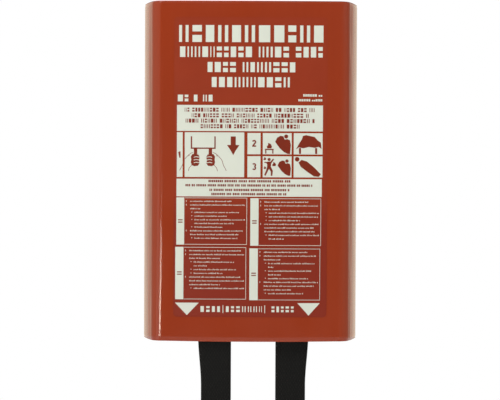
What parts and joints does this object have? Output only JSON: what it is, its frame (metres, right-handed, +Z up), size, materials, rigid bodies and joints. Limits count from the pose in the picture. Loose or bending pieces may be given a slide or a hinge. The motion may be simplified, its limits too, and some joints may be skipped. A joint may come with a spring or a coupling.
{
  "type": "fire blanket",
  "caption": "Wall-hung fire blanket: slim rigid plastic case, open below, with a folded glass-fibre blanket that pulls out by two webbing straps.",
  "frame": {"origin": "on the wall plane, midway between the entry holes of the two keyholes in the back plate", "axes": "+Z up, +Y into the wall, -Y out of the front face, +X to the right seen from the front"},
  "size_m": [0.18, 0.0382, 0.394],
  "materials": {
    "case_red": "glossy moulded red plastic",
    "plate_red": "satin moulded red plastic",
    "rivet_metal": "plain drawn aluminium",
    "label_film": "printed self-adhesive film",
    "label_cream": "cream print",
    "glass_cloth": "woven glass fibre",
    "webbing_black": "black polyester webbing",
    "sewing_thread": "heat-resistant sewing thread"
  },
  "bodies": {
    "case": {"front_cover": "case_red", "top_cap": "case_red", "back_plate": "plate_red", "flange_rivets": "rivet_metal", "cap_rivets": "rivet_metal", "instruction_label": "label_film"},
    "blanket": {"blanket_pack": "glass_cloth", "corner_patch_left": "glass_cloth", "corner_patch_right": "glass_cloth", "strap_anchor_left": "webbing_black", "strap_anchor_right": "webbing_black"},
    "left_strap": {"pull_strap_left": "webbing_black"},
    "right_strap": {"pull_strap_right": "webbing_black"}
  },
  "joints": [
    {"name": "blanket_pull", "type": "slide", "parent": "case", "child": "blanket", "axis": [0, 0, -1], "range_m": [0, 0.28]},
    {"name": "left_strap_swing", "type": "hinge", "parent": "blanket", "child": "left_strap", "pos_m": [-0.028, -0.0318, -0.245], "axis": [-1, 0, 0], "range_deg": [-12, 85]},
    {"name": "right_strap_swing", "type": "hinge", "parent": "blanket", "child": "right_strap", "pos_m": [0.034, -0.028, -0.245], "axis": [-1, 0, 0], "range_deg": [-12, 85]}
  ]
}
